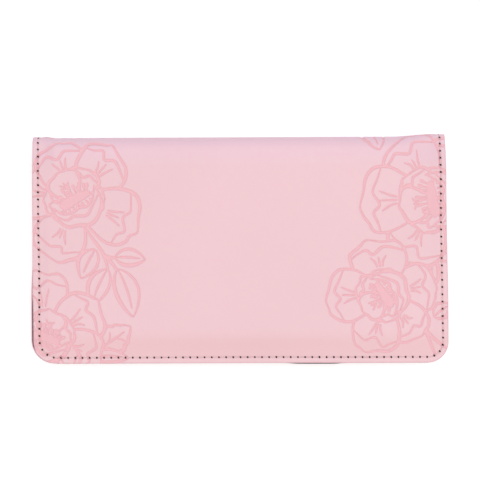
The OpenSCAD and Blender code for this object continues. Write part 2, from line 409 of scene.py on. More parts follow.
def smooth_mesh(name, points, faces):
    """A mesh that shades as one smooth surface."""
    mesh = bpy.data.meshes.new(name)
    mesh.from_pydata(points, [], faces)
    mesh.shade_smooth()
    return mesh


def finish_sheet(name, mesh, flat):
    """Gives a sheet its flat map, which keeps grain and weave at their true scale. Its cut
    edges stay crisp."""
    corner = np.zeros(len(mesh.loops), int)
    mesh.loops.foreach_get("vertex_index", corner)
    mesh.uv_layers.new(name="flat").data.foreach_set("uv", flat[corner].ravel())
    mesh.set_sharp_from_angle(angle=math.radians(48))
    return finish_piece(name, mesh)


def closed_sheet(name, x, s, outer, inner, side, limit=None, marks=None):
    """A closed sheet of cloth or board between two depths. marks are values kept on its
    points for the material."""
    rows, cols = x.shape[0] - 1, x.shape[1] - 1
    limit = np.ones((rows, cols), int) if limit is None else limit
    faces, used = graded_faces(limit)
    border = border_of(rows, cols)
    kept = border[used.ravel()[border]]
    forced = np.zeros_like(used)
    forced.ravel()[kept] = True
    under_limit = np.where(limit > 1, limit, 4 if limit.max() > 1 else 1)
    under, under_used = graded_faces(under_limit, forced)
    count = used.size
    faces = [f if side > 0 else f[::-1] for f in faces]
    under = [tuple(v + count for v in (f[::-1] if side > 0 else f)) for f in under]
    wall = []
    for a, b in zip(kept, np.roll(kept, -1)):
        wall.append((a, a + count, b + count, b) if side > 0 else (b, b + count, a + count, a))
    every = faces + under + wall
    points = np.concatenate([lay(x, s, d, side).reshape(-1, 3) for d in (outer, inner)])
    needed = np.concatenate([used.ravel(), under_used.ravel()])
    new_index = np.cumsum(needed) - 1
    mesh = smooth_mesh(name, points[needed].tolist(), [[int(new_index[v]) for v in f] for f in every])
    for key, (top, below) in (marks or {}).items():
        values = np.concatenate([top.ravel(), below.ravel()])[needed]
        mesh.attributes.new(key, "FLOAT", "POINT").data.foreach_set("value", values)
    flat = np.tile(np.stack([x.ravel(), s.ravel()], 1) * MM, (2, 1))[needed]
    return finish_sheet(name, mesh, flat)


def steps(*stretches):
    """Positions along a line, from stretches of (start, end, count of cells)."""
    parts = [np.linspace(a, b, n, endpoint=False) for a, b, n in stretches]
    return np.concatenate(parts + [[stretches[-1][1]]])


def skin_columns():
    """Close columns under the flowers and the corners, and wide ones in the plain middle."""
    plain_from, plain_to = -36, 30
    turn = np.sin(np.linspace(0, math.pi / 2, 49))
    middle = steps((-half_w + left_r, plain_from, 192), (plain_from, plain_to, 48),
                   (plain_to, half_w - right_r, 216))
    left_corner = half_w - left_r + left_r * turn
    right_corner = half_w - right_r + right_r * turn
    return np.concatenate([-left_corner[:0:-1], middle, right_corner[1:]])


def soft_rise(x, s):
    """0 on the pressed seam margin and 1 on the padded middle of a cover. The padding slopes
    up sooner from the sides than from the open edge."""
    margin_w = 2.9
    aside = half_w - np.abs(x)
    below = lower_edge(x) - s
    return smooth((aside - margin_w) / 4.5) * smooth((below - margin_w) / 9.5)


def wander(x, s):
    """How far the seam strays towards +x, on the left side and on the right."""
    left = 0.35 * smooth((s - 30) / 35) - 0.2 * smooth((25 - s) / 25)
    right = 0.12 * smooth((45 - s) / 25) + 0.15 * smooth((s - 76) / 10)
    return left * smooth((-x - 68) / 10) + right * smooth((x - 68) / 10)


def traced_seam():
    """The edge seam as closely spaced (x, s) points, from the crest down the left side, along
    the open edge and up the right side. The sewing wanders a little off a straight line."""
    turn = np.linspace(0, math.pi / 2, 40)
    left_turn, right_turn = left_r - seam_inset, right_r - seam_inset
    down, along = 200, 398
    x = np.concatenate([np.full(down, seam_inset - half_w),
                        left_r - half_w - left_turn * np.cos(turn),
                        np.linspace(left_r - half_w, half_w - right_r, along + 2)[1:-1],
                        half_w - right_r + right_turn * np.sin(turn),
                        np.full(down, half_w - seam_inset)])
    s = np.concatenate([np.linspace(0, cover_s - left_r, down + 1)[:-1],
                        cover_s - left_r + left_turn * np.sin(turn),
                        np.full(along, cover_s - seam_inset),
                        cover_s - right_r + right_turn * np.cos(turn),
                        np.linspace(cover_s - right_r, 0, down + 1)[1:]])
    return x + wander(x, s), s


seam_x, seam_s = traced_seam()
seam_q = np.concatenate([[0], np.cumsum(np.hypot(np.diff(seam_x), np.diff(seam_s)))])
seam_length = seam_q[-1]
# Needle holes of each cover. On the left the last hole before the fold lies 1.75 mm short of the
# crest on the front, and on the right both rows share the hole on the crest itself.
short_of_crest, hole_count = 1.75, 118
front_q = np.linspace(short_of_crest, seam_length, hole_count)
stitch = front_q[1] - front_q[0]
back_q = np.linspace(stitch - short_of_crest, seam_length, hole_count)


def seam_at(q):
    """A point of the seam, carried straight on past the crest of the fold at both ends."""
    past = np.minimum(q, 0) - np.maximum(q - seam_length, 0)
    return np.interp(q, seam_q, seam_x), np.interp(q, seam_q, seam_s) + past


def pressing(s):
    """How fully the skin's edge is pressed: all of it on the covers, and less on the fold."""
    return 0.3 + 0.7 * smooth(np.abs(s) / 6)


def needle_dimples(x, s, near, holes):
    """Depth of the dimple round each needle hole, worked out near the seam only."""
    reach = 1.6
    dimple = np.zeros_like(x)
    near_x, near_s = x[near], s[near]
    nearest = np.full(near_x.shape, np.inf)
    for hx, hs in zip(*seam_at(holes)):
        close = (np.abs(near_x - hx) < reach) & (np.abs(near_s - hs) < reach)
        away = np.hypot(near_x[close] - hx, near_s[close] - hs)
        nearest[close] = np.minimum(nearest[close], away)
    dimple[near] = dimple_d * np.exp(-(nearest / 0.5) ** 2)
    return dimple


def skin_depth(x, s, pressed, side):
    """Depth of the skin's outer face below the cover's plane: crowned over the padding,
    pressed down along the seam, dimpled at each needle hole and rounded at its cut edge."""
    edge = edge_distance(x, s)
    rise = soft_rise(x, s)
    front = side > 0
    crown = crown_h * front * (1 - (x / half_w) ** 2) * smooth((s - quarter) / 30)
    ripple = 0.07 * (np.sin(x / 9.5 + 1) * np.sin(s / 13 + 0.6) + np.sin(x / 17 - s / 21))
    ripple = ripple * front * rise * smooth((s - quarter) / 12)
    inset = seam_inset - np.sign(x) * wander(x, s)
    channel = channel_d * np.exp(-((edge - inset) / 0.42) ** 2)
    near = np.abs(edge - inset) < 1.5
    dimple = needle_dimples(x, s, near, front_q if front else back_q)
    rounding = 0.22 * smooth(1 - edge / 0.45) ** 2 * pressing(s)
    margin = margin_d * (1 - rise) * pressing(s)
    bulge = 0.24 * smooth((half_w - 6 - np.abs(x)) / 6) * (1 - smooth(s / 6))
    return margin - bulge - crown * rise - ripple + channel + dimple + rounding + press_d * pressed


def low_on_the_left(x, s):
    """1 low on the left side, where skin, lining and pocket were not trimmed quite alike."""
    return smooth((s - 65) / 9) * smooth((93 - s) / 5) * smooth((-x - 70) / 10)


def make_skin(name, side, plate):
    """One half of the outer skin, from the crest of the fold to the open edge."""
    columns = skin_columns()
    down = steps((0, quarter, 32), (quarter, cover_s - 5, 376), (cover_s - 5, cover_s, 24))
    x = np.repeat(columns[None], len(down), 0)
    s = down[:, None] * lower_edge(columns)[None] / cover_s
    pressed = smooth(pressed_at(plate, x, cover_s - side * s))
    edge = edge_distance(x, s)
    outer = skin_depth(x, s, pressed, side)
    inner = skin_t + margin_d * (1 - smooth((edge - 3) / 2.2))
    # Fine faces along the walls of the pressed lines, the cut edge and the seam. Those along the
    # crest are fine as well, so that the two halves share every point there.
    cell = [pressed[:-1, :-1], pressed[1:, :-1], pressed[:-1, 1:], pressed[1:, 1:]]
    lined = np.ptp(cell, 0) > 0.02
    near_edge = edge[:-1, :-1]
    fine = lined | (near_edge < 0.6) | (np.abs(near_edge - seam_inset - 0.1) < 0.9)
    limit = np.where(fine, 1, np.where(s[:-1, :-1] < quarter + 2, 2, 4))
    limit[:1] = 1
    worn = 1 - smooth(edge / 0.6)
    # Painted light: a cool painted sheen where the skin turns over the fold, and painted shade on the
    # slope down to the lower seam.
    painted_fold_sheen = 1 - smooth((s - quarter - 1) / 8)
    painted_slope_shade = smooth((s - cover_s + 16) / 9) * smooth((lower_edge(x) - s - 2.7) / 0.6)
    none = np.zeros_like(s)
    marks = {"pressed": (pressed, none), "worn": (worn, none + 1),
             "painted_fold_sheen": (painted_fold_sheen, none), "painted_slope_shade": (painted_slope_shade, none)}
    # Low on the left the front was trimmed a hair short, and the lining shows.
    trimmed = 0.2 * low_on_the_left(x, s) * (1 - smooth(edge / 2)) * (side > 0)
    return closed_sheet(name, x + trimmed, s, outer, inner, side, limit, marks)


def node(tree, kind, inputs=None, **settings):
    """Adds a shader node. A socket among the inputs is linked and a value is set."""
    added = tree.nodes.new(kind)
    for key, value in settings.items():
        setattr(added, key, value)
    for key, value in (inputs or {}).items():
        if isinstance(value, bpy.types.NodeSocket):
            tree.links.new(value, added.inputs[key])
        else:
            added.inputs[key].default_value = value
    return added


def new_material(name):
    """A new material, its nodes and its shader."""
    material = bpy.data.materials.new(name)
    material.use_nodes = True
    tree = material.node_tree
    return material, tree, tree.nodes["Principled BSDF"]


def colour(red, green, blue):
    """A colour given as it looks on screen, from 0 to 255, made linear for the shader."""
    def linear(v):
        v /= 255
        return v / 12.92 if v <= 0.04045 else ((v + 0.055) / 1.055) ** 2.4
    return (linear(red), linear(green), linear(blue), 1)


def shifted(base, *factors):
    """A colour with its red, green and blue each changed by a factor."""
    return tuple(c * f for c, f in zip(base, factors)) + (1,)


def blend_colours(tree, factor, first, second):
    """From the first colour at 0 to the second at 1."""
    mix = node(tree, "ShaderNodeMix", data_type="RGBA")
    for index, value in ((0, factor), (6, first), (7, second)):
        if isinstance(value, bpy.types.NodeSocket):
            tree.links.new(value, mix.inputs[index])
        else:
            mix.inputs[index].default_value = value
    return mix.outputs[2]


def spread_over(tree, value, low_in, high_in, low_out, high_out):
    """Stretches one range of a value over another."""
    return node(tree, "ShaderNodeMapRange",
                {"Value": value, "From Min": low_in, "From Max": high_in,
                 "To Min": low_out, "To Max": high_out}).outputs["Result"]


def combine(tree, operation, first, second):
    """One value worked out from two."""
    return node(tree, "ShaderNodeMath", {0: first, 1: second}, operation=operation).outputs[0]


def noise(tree, place, scale, detail, **more):
    """Uneven cloudiness, with its scale in lumps to the metre."""
    return node(tree, "ShaderNodeTexNoise",
                {"Vector": place, "Scale": scale, "Detail": detail, **more}).outputs["Fac"]


def flat_map(tree):
    """Places on a sheet as it lay before it was bent, in metres."""
    return node(tree, "ShaderNodeUVMap", uv_map="flat").outputs["UV"]


def mark(tree, name):
    """A value kept on the points of a sheet."""
    return node(tree, "ShaderNodeAttribute", attribute_name=name).outputs["Fac"]


def surface(tree, shader, tone, rough, gloss):
    """Gives a material its colour, its roughness and how strongly it shines."""
    tree.links.new(tone, shader.inputs["Base Color"])
    tree.links.new(rough, shader.inputs["Roughness"])
    shader.inputs["Specular IOR Level"].default_value = gloss


def relief(tree, shader, height, strength, depth):
    """Gives a material its fine relief, with the depth in metres."""
    bump = node(tree, "ShaderNodeBump", {"Height": height, "Strength": strength, "Distance": depth})
    tree.links.new(bump.outputs["Normal"], shader.inputs["Normal"])


def leathercloth(name, body, deep, grain=1.0):
    """Coated cloth with a fine soft grain: slightly mottled, pinker where the hot plate has
    pressed it, and darker on its cut edges. It also carries painted shade on the walls of the
    pressed lines, a painted sheen over the fold and painted shade above the lower seam."""
    material, tree, shader = new_material(name)
    flat = flat_map(tree)
    drift = noise(tree, flat, 16.0, 2.0)
    mottle = noise(tree, flat, 420.0, 5.0, Roughness=0.65)
    cells = node(tree, "ShaderNodeTexVoronoi", {"Vector": flat, "Scale": 2300.0},
                 feature="DISTANCE_TO_EDGE").outputs["Distance"]
    fuzz = noise(tree, flat, 3600.0, 3.0)
    base = blend_colours(tree, spread_over(tree, drift, 0.35, 0.65, 0, 1), body,
                         shifted(body, 0.965, 0.965, 0.965))
    speckled = blend_colours(tree, spread_over(tree, mottle, 0.3, 0.75, 0, 0.5), base,
                             shifted(body, 0.985, 0.95, 0.96))
    grained = blend_colours(tree, spread_over(tree, cells, 0.0, 0.12, 0.35, 0), speckled,
                            shifted(body, 0.93, 0.93, 0.93))
    # Painted light: a bluish painted sheen where the skin is stretched over the fold, and a warmer,
    # darker painted shade where it falls to the lower seam.
    for name_of_mark, change in (("painted_fold_sheen", (1, 1.01, 1.065, 1)), ("painted_slope_shade", (0.985, 0.95, 0.935, 1))):
        tint = blend_colours(tree, mark(tree, name_of_mark), (1, 1, 1, 1), change)
        grained = node(tree, "ShaderNodeVectorMath", {0: grained, 1: tint},
                       operation="MULTIPLY").outputs[0]
    # Painted shade: the walls of a pressed line are painted darker than its floor.
    pressed = mark(tree, "pressed")
    wall = blend_colours(tree, spread_over(tree, pressed, 0.35, 1, 0, 1),
                         shifted(deep, 0.98, 0.94, 0.965), deep)
    stamped = blend_colours(tree, spread_over(tree, pressed, 0, 0.4, 0, 1), grained, wall)
    rubbed = combine(tree, "MULTIPLY", mark(tree, "worn"),
                     spread_over(tree, mottle, 0.3, 0.7, 0.3, 0.75))
    edged = blend_colours(tree, rubbed, stamped, shifted(deep, 0.86, 0.84, 0.86))
    surface(tree, shader, edged, spread_over(tree, mottle, 0.3, 0.7, 0.44, 0.56), 0.35)
    height = combine(tree, "MULTIPLY", spread_over(tree, cells, 0.0, 0.25, 0, 1), fuzz)
    relief(tree, shader, height, 0.35 * grain, 0.00005)
    return material


skin_material = leathercloth("pink_leathercloth", colour(242, 205, 210), colour(242, 189, 196))


def bends_with_front(piece):
    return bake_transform(piece)


def bends_with_back(piece):
    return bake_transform(piece)


halves = ((1, bends_with_front, "front"), (-1, bends_with_back, "back"))
plate = planted_sheet()
for side, bends, name in halves:
    skin = make_skin(name + "_skin", side, plate)
    skin.data.materials.append(skin_material)
    bends(skin)
    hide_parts(name + "_outer_skin", "spine_outer_skin")

# ---------- Edge seams ----------
# A lockstitch in pale pink two-ply thread runs round the three free sides of both covers and on
# over the ends of the fold. The dark bobbin thread shows as a small knot in every needle hole.

thread_r = 0.2
knot_r, knot_h = 0.44, 0.16


def unit(arrows):
    """The same directions at a length of 1."""
    return arrows / np.linalg.norm(arrows, axis=-1, keepdims=True)


def seam_floor(x, s):
    """Depth of the bottom of the seam's channel."""
    return channel_d + margin_d * pressing(s) + 0 * x


def seat(x, s, depth, side, facing):
    """Points on a face of a sheet, in metres, and which way is straight out of it."""
    centre = lay(x, s, depth, side)
    return centre, unit(lay(x, s, depth + facing * 0.5, side) - centre)


def tubes(name, centres, outward, radius):
    """Closed six-sided tubes, one for each row of centres. outward says which way each ring
    faces up."""
    sides = 6
    count, rings = centres.shape[:2]
    along = unit(np.gradient(centres, axis=1))
    across = unit(np.cross(along, outward))
    up = np.cross(across, along)
    around = np.linspace(0, 2 * math.pi, sides, endpoint=False)
    ring = (across[:, :, None] * np.cos(around)[:, None] + up[:, :, None] * np.sin(around)[:, None])
    points = (centres[:, :, None] + radius * ring).reshape(-1, 3)
    faces = []
    for k in range(count):
        start = k * rings * sides
        for i in range(rings - 1):
            for j in range(sides):
                a, b = start + i * sides + j, start + i * sides + (j + 1) % sides
                faces.append((a, b, b + sides, a + sides))
        faces.append(tuple(range(start + sides - 1, start - 1, -1)))
        faces.append(tuple(range(start + (rings - 1) * sides, start + rings * sides)))
    return smooth_mesh(name, points.tolist(), faces)


def sew(name, route, holes, depth, side, facing, radius=thread_r):
    """A row of stitches between needle holes. route gives x and s at a distance along the seam,
    depth is the depth of the cloth's face there, and facing is -1 on a cover's outer face and
    1 on its inner face. Each stitch is two plies twisted together one and a half times."""
    t = np.linspace(0.12, 0.88, 13)
    q = holes[:-1, None] + (holes[1:] - holes[:-1])[:, None] * t
    x, s = route(q)
    arch = np.clip(np.sin(math.pi * t), 0, 1) ** 0.45
    face = depth(x, s) if callable(depth) else depth
    level = np.broadcast_to(face + facing * (radius * 1.7 * arch - radius * 0.9), x.shape)
    centre, outward = seat(x, s, level, side, facing)
    across = np.cross(unit(np.gradient(centre, axis=1)), outward)
    twist = 2 * math.pi * 1.5 * t
    plies = []
    for half_turn in (0, math.pi):
        swing = (across * np.cos(twist + half_turn)[:, None]
                 + outward * np.sin(twist + half_turn)[:, None])
        plies.append(centre + swing * radius * 0.45 * MM)
    mesh = tubes(name, np.concatenate(plies), np.concatenate([outward, outward]), radius * 0.62 * MM)
    return finish_piece(name, mesh)


def knots(name, x, s, depth, side):
    """Small flattened knots, one in each needle hole of a cover's outer face."""
    rings, sides = 5, 10
    lift = np.linspace(0, math.pi, rings + 2)[1:-1]
    around = np.linspace(0, 2 * math.pi, sides, endpoint=False)
    centre, outward = seat(x, s, depth, side, -1)
    one = unit(np.cross(outward, np.array([0.9, 0.43, 0.05])))
    two = np.cross(outward, one)
    points, faces = [], []
    for k in range(len(x)):
        start = len(points)
        points.append(centre[k] + outward[k] * knot_h * MM)
        for a in lift:
            for b in around:
                points.append(centre[k] + MM * (outward[k] * knot_h * math.cos(a)
                              + knot_r * math.sin(a) * (one[k] * math.cos(b) * 1.1
                                                        + two[k] * math.sin(b) * 0.88)))
        points.append(centre[k] - outward[k] * knot_h * MM)
        last = len(points) - 1
        for j in range(sides):
            n = (j + 1) % sides
            faces.append((start, start + 1 + j, start + 1 + n))
            for i in range(rings - 1):
                a = start + 1 + i * sides
                faces.append((a + j, a + sides + j, a + sides + n, a + n))
            a = start + 1 + (rings - 1) * sides
            faces.append((a + j, last, a + n))
    return finish_piece(name, smooth_mesh(name, [tuple(p) for p in points], faces))


def thread(name, pale, shade):
    """Spun polyester: fine fibres, dull, a little darker between the plies."""
    material, tree, shader = new_material(name)
    place = node(tree, "ShaderNodeTexCoord").outputs["Object"]
    fibres = noise(tree, place, 9000.0, 3.0)
    both = combine(tree, "MULTIPLY", fibres, noise(tree, place, 350.0, 2.0))
    tone = blend_colours(tree, spread_over(tree, both, 0.15, 0.4, 0, 1), shade, pale)
    surface(tree, shader, tone, spread_over(tree, fibres, 0.3, 0.7, 0.65, 0.85), 0.25)
    relief(tree, shader, fibres, 0.4, 0.00003)
    return material


pink_thread = thread("pink_thread", colour(246, 224, 221), colour(226, 188, 190))
bobbin_thread = thread("bobbin_thread", colour(62, 40, 43), colour(26, 16, 20))
# The front row takes the stitch over the crest on the left, and the shared hole's knot.
edge_holes = {1: np.append(front_q[0] - stitch, front_q), -1: back_q}
for side, bends, name in halves:
    row = sew(name + "_edge_stitches", seam_at, edge_holes[side], seam_floor, side, -1)
    row.data.materials.append(pink_thread)
    knot_x, knot_s = seam_at(front_q if side > 0 else back_q[:-1])
    dots = knots(name + "_needle_knots", knot_x, knot_s, seam_floor(knot_x, knot_s) - 0.03, side)
    dots.data.materials.append(bobbin_thread)
    for piece in (row, dots):
        bends(piece)
    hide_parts(name + "_edge_stitching", "spine_end_stitching")

# ---------- Lining ----------
# A charcoal cloth glued behind the boards and sewn in with the edge seam. It is cut a touch
# larger than the skin, so a thin dark line of it shows low on the left and at the open edge.

board_t, lining_t = 0.8, 0.3
board_d, lining_d, pocket_d = skin_t, skin_t + board_t, skin_t + board_t + lining_t
glue = 0.02


def woven(name, dark, light, pitch):
    """Plain weave: warp and weft pass over each other, with slubs and uneven dye."""
    material, tree, shader = new_material(name)
    flat = flat_map(tree)
    wave = {"Vector": flat, "Scale": 1 / (pitch * MM) / 6.2832, "Distortion": 0.6, "Detail": 1.0,
            "Detail Scale": 2.0}
    warp, weft = [node(tree, "ShaderNodeTexWave", wave, bands_direction=way).outputs["Fac"]
                  for way in ("X", "Y")]
    weave = combine(tree, "MULTIPLY", warp, weft)
    slub = noise(tree, flat, 500.0, 4.0)
    tone = combine(tree, "ADD", weave, slub)
    shade = blend_colours(tree, spread_over(tree, tone, 0.4, 1.3, 0, 1), dark, light)
    surface(tree, shader, shade, spread_over(tree, slub, 0.3, 0.7, 0.78, 0.92), 0.2)
    relief(tree, shader, weave, 0.5, 0.00008)
    return material


lining_material = woven("charcoal_lining", colour(46, 43, 47), colour(92, 87, 92), 0.35)


def sheet_grid(columns, fractions, top, bottom):
    """Points of a panel between an upper and a lower edge, each given along the columns."""
    x = np.repeat(columns[None], len(fractions), 0)
    s = top[None] + fractions[:, None] * (bottom - top)[None]
    return x, s


def edge_columns(left, right, count):
    """Columns across a panel, closer together on a cover's rounded corners."""
    ends = np.sin(np.linspace(0, math.pi / 2, 13))
    first, last = left_r - half_w, half_w - right_r
    parts = [np.linspace(max(left, first), min(right, last), count + 1)]
    if left < first:
        parts.insert(0, (first + (left - first) * ends)[:0:-1])
    if right > last:
        parts.append((last + (right - last) * ends)[1:])
    return np.concatenate(parts)


def make_lining(name, side):
    """The lining of one cover, proud of the skin by a hair low on the left and along the front
    cover's open edge."""
    columns = edge_columns(-half_w, half_w, 96)
    fractions = steps((0, quarter / cover_s, 24), (quarter / cover_s, 1, 80))
    x, s = sheet_grid(columns, fractions, 0 * columns, lower_edge(columns))
    edge = edge_distance(x, s)
    margin = 1 - smooth((edge - 3) / 2.2)
    at_edge = 1 - smooth(edge / 1.2)
    proud_left = 0.22 * low_on_the_left(x, s)
    proud_open = (0.07 + 0.33 * smooth((x - 18) / 6) * (1 - smooth((x - 38) / 6))) * (side > 0)
    x_out = x - proud_left * at_edge
    s_out = s + proud_open * at_edge * smooth((s - cover_s + 6) / 5)
    return closed_sheet(name, x_out, s_out, lining_d - 0.3 * margin + glue, pocket_d, side)


for side, bends, name in halves:
    lining = make_lining(name + "_lining_cloth", side)
    lining.data.materials.append(lining_material)
    bends(lining)
    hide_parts(name + "_lining", "spine_lining")

# ---------- Boards and spine tape ----------
# Each cover is stiffened by a thin grey board glued between skin and lining. A soft woven tape
# backs the skin in the fold, where a board would crack.

board_margin, board_setback = 5.5, 1.2


def greyboard(name):
    """Dense grey board of waste paper, with darker flecks."""
    material, tree, shader = new_material(name)
    flat = flat_map(tree)
    fibres = noise(tree, flat, 700.0, 6.0, Roughness=0.7)
    flecks = node(tree, "ShaderNodeTexVoronoi", {"Vector": flat, "Scale": 260.0}).outputs["Distance"]
    tone = blend_colours(tree, spread_over(tree, fibres, 0.3, 0.7, 0, 1),
                         colour(150, 138, 122), colour(186, 174, 156))
    flecked = blend_colours(tree, spread_over(tree, flecks, 0.0, 0.12, 0.6, 0), tone,
                            colour(104, 92, 80))
    surface(tree, shader, flecked, spread_over(tree, fibres, 0.3, 0.7, 0.8, 0.95), 0.5)
    relief(tree, shader, fibres, 0.3, 0.00005)
    return material


board_material = greyboard("greyboard")
tape_material = woven("spine_tape_weave", colour(176, 164, 148), colour(214, 204, 190), 0.6)
reach = half_w - board_margin
for side, _, name in halves:
    columns = edge_columns(-reach, reach, 60)
    top = 0 * columns + quarter + board_setback
    x, s = sheet_grid(columns, steps((0, 1, 40)), top, lower_edge(columns, board_margin))
    board = closed_sheet(name + "_stiffener", x, s, board_d + glue, lining_d - glue, side)
    board.data.materials.append(board_material)
    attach(board, name + "_cover")
    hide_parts(name + "_board")

for (side, bends, _), name in zip(halves, ("upper", "lower")):
    columns = np.linspace(-reach, reach, 81)
    x, s = sheet_grid(columns, steps((0, 1, 12)), 0 * columns, 0 * columns + quarter * 0.85)
    tape = closed_sheet(name + "_spine_tape", x, s, board_d + glue, lining_d - glue, side)
    tape.data.materials.append(tape_material)
    bends(tape)
    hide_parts("spine_tape")

# ---------- Passport pocket and document pocket ----------
# A full-width panel of plain leathercloth on the inside of each cover, sewn in round the three
# free sides and open to the fold, with a hem along its mouth. The back one has a thumb notch.

pocket_t = 0.5
mouth_s = quarter + 9
notch_r = 11
hem_inset = 2
inner_stitch, inner_thread_r = 2.97, 0.16
card_d = pocket_d + pocket_t
pocket_material = leathercloth("pocket_leathercloth", colour(238, 196, 203), colour(232, 176, 188),
                               grain=1.3)


def rounded_back(cut):
    """How far a panel's inner face falls away at its cut edges."""
    return 0.12 * smooth(1 - cut / 0.35)


def panel(name, left, right, top, depth, thickness, body, side, rows=40, count=80):
    """A panel sewn flat round its edge. Low on the left it stands proud of the lining by a
    hair, so its edge is the outermost there."""
    columns = edge_columns(left, right, count)
    if callable(top):
        columns = np.unique(np.concatenate([columns, np.linspace(-notch_r, notch_r, 41)]))
        upper = top(columns)
    else:
        upper = 0 * columns + top
    x, s = sheet_grid(columns, steps((0, 0.1, 8), (0.1, 1, rows)), upper, lower_edge(columns))
    edge = edge_distance(x, s)
    cut = np.minimum(np.minimum(edge, s - upper), np.minimum(x - left, right - x))
    worn = 1 - smooth(cut / 0.5)
    proud = 0.72 * smooth((s - 50) / 20) * smooth((-x - 70) / 10) * (1 - smooth(edge / 1.5))
    piece = closed_sheet(name, x - proud, s, depth + 0.01, depth + thickness - rounded_back(cut),
                         side, marks={"worn": (worn, worn), "pressed": (0 * worn, 0 * worn)})
    piece.data.materials.append(pocket_material)
    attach(piece, body)
    return piece


def notched_mouth(x):
    """The passport pocket's mouth, which dips round the thumb notch."""
    return mouth_s + np.sqrt(np.clip(notch_r ** 2 - x ** 2, 0, None))


def seam_row(points, depth):
    """A seam along a line of (x, s) points: its route, its needle holes and the depth of the
    face that it is sewn on."""
    points = np.array(points, float)
    at = np.concatenate([[0], np.cumsum(np.hypot(*np.diff(points, axis=0).T))])
    holes = np.linspace(0, at[-1], round(at[-1] / inner_stitch) + 1)

    def route(q):
        return np.interp(q, at, points[:, 0]), np.interp(q, at, points[:, 1])

    return route, holes, depth


def join(name, pieces):
    """Makes one piece of several meshes."""
    points, faces, start = [], [], 0
    for piece in pieces:
        mesh = piece.data
        points += [tuple(v.co) for v in mesh.vertices]
        faces += [tuple(v + start for v in p.vertices) for p in mesh.polygons]
        start += len(mesh.vertices)
        bpy.data.objects.remove(piece)
        bpy.data.meshes.remove(mesh)
    return finish_piece(name, smooth_mesh(name, points, faces))


def inner_seam(name, rows, side, body, replaced):
    """Sews rows on the inner face of a cover and lets them ride on it."""
    seam = join(name, [sew(f"{name}_{i}", route, holes, depth, side, 1, inner_thread_r)
                       for i, (route, holes, depth) in enumerate(rows)])
    seam.data.materials.append(pink_thread)
    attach(seam, body)
    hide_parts(replaced)


hem_s = mouth_s + hem_inset
hem_end = half_w - seam_inset - 0.8
passport = panel("passport_pocket_panel", -half_w, half_w, notched_mouth, pocket_d, pocket_t,
                 "back_cover", -1)
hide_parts("passport_pocket")
dip = notch_r + hem_inset
meet = math.asin(hem_inset / dip)
around_notch = [(dip * math.cos(a), mouth_s + dip * math.sin(a))
                for a in np.linspace(math.pi - meet, meet, 25)]
hem_line = [(-hem_end, hem_s)] + around_notch + [(hem_end, hem_s)]
inner_seam("passport_pocket_hem", [seam_row(hem_line, card_d)], -1, "back_cover",
           "passport_pocket_stitching")

document = panel("document_pocket_panel", -half_w, half_w, mouth_s, pocket_d, pocket_t,
                 "front_cover", 1)
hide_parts("document_pocket")
inner_seam("document_pocket_hem", [seam_row([(-hem_end, hem_s), (hem_end, hem_s)], card_d)], 1,
           "front_cover", "document_pocket_stitching")

# ---------- Card slots ----------
# Three stepped panels of the same leathercloth. They are sewn into the side seam and held by
# one dividing seam, and each has its own hem row.

card_t = 0.4
card_mouth = mouth_s + 9
card_step = 11
divider_x = -half_w + seam_inset + 92
divider_margin = 1.4
slot_right = divider_x + divider_margin
rows = []
for step, name in enumerate(("upper", "middle", "lower")):
    mouth = card_mouth + step * card_step
    top = card_d + step * card_t
    slot_panel = panel(name + "_card_panel", -half_w, slot_right, mouth, top, card_t,
                       "front_cover", 1, rows=30, count=50)
    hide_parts(name + "_card_slot")
    slot_hem = mouth + hem_inset
    divider_end = mouth + card_step if step < 2 else cover_s - seam_inset - 1
    rows.append(seam_row([(-hem_end, slot_hem), (divider_x, slot_hem)], top + card_t))
    rows.append(seam_row([(divider_x, slot_hem), (divider_x, divider_end)], top + card_t))
inner_seam("card_slot_seams", rows, 1, "front_cover", "card_slot_stitching")

# ---------- Identity card window ----------
# A leathercloth frame with a rounded opening, backed by clear film that is sewn in round the
# opening. The card slides in behind the film.

film_t = 0.2
frame_left = divider_x + 2 * divider_margin
window_w, window_margin, window_r, film_lap = 50, 9, 4, 3
window_x = (frame_left + half_w - seam_inset) / 2
window_top = card_mouth + window_margin
window_bottom = cover_s - window_margin


def rounded_loop(grow, points):
    """The window's outline, grown on every side, as (x, s) points."""
    r = window_r + grow
    cx, cs = window_w / 2 + grow - r, (window_bottom - window_top) / 2 + grow - r
    middle = (window_top + window_bottom) / 2
    loop = []
    for k, (a, b) in enumerate(((1, 1), (-1, 1), (-1, -1), (1, -1))):
        for angle in np.linspace(0, math.pi / 2, points):
            turn = angle + k * math.pi / 2
            loop.append((window_x + a * cx + r * math.cos(turn),
                         middle + b * cs + r * math.sin(turn)))
    return np.array(loop)


def ringed_panel(name, inner_loop, outer_loop, outer_depth, thickness):
    """A flat frame between two loops of equally many points, closed all round."""
    rings = 12
    count = len(inner_loop)
    share = np.linspace(0, 1, rings)[:, None, None]
    grid = inner_loop[None] * (1 - share) + outer_loop[None] * share
    x, s = grid[..., 0], grid[..., 1]
    cut = np.minimum(share[..., 0], 1 - share[..., 0]) * np.hypot(*(outer_loop - inner_loop).T)
    depths = (outer_depth, outer_depth + thickness - rounded_back(cut))
    points = np.concatenate([lay(x, s, d, 1).reshape(-1, 3) for d in depths])
    half = rings * count
    faces = []
    for i in range(rings - 1):
        for j in range(count):
            a, b = i * count + j, i * count + (j + 1) % count
            faces.append((a, a + count, b + count, b))
            faces.append((a + half, b + half, b + count + half, a + count + half))
    for j in range(count):
        n = (j + 1) % count
        last = (rings - 1) * count
        faces.append((j, n, n + half, j + half))
        faces.append((last + n, last + j, last + j + half, last + n + half))
    flat = np.tile(np.stack([x.ravel(), s.ravel()], 1) * MM, (2, 1))
    return finish_sheet(name, smooth_mesh(name, points.tolist(), faces), flat)


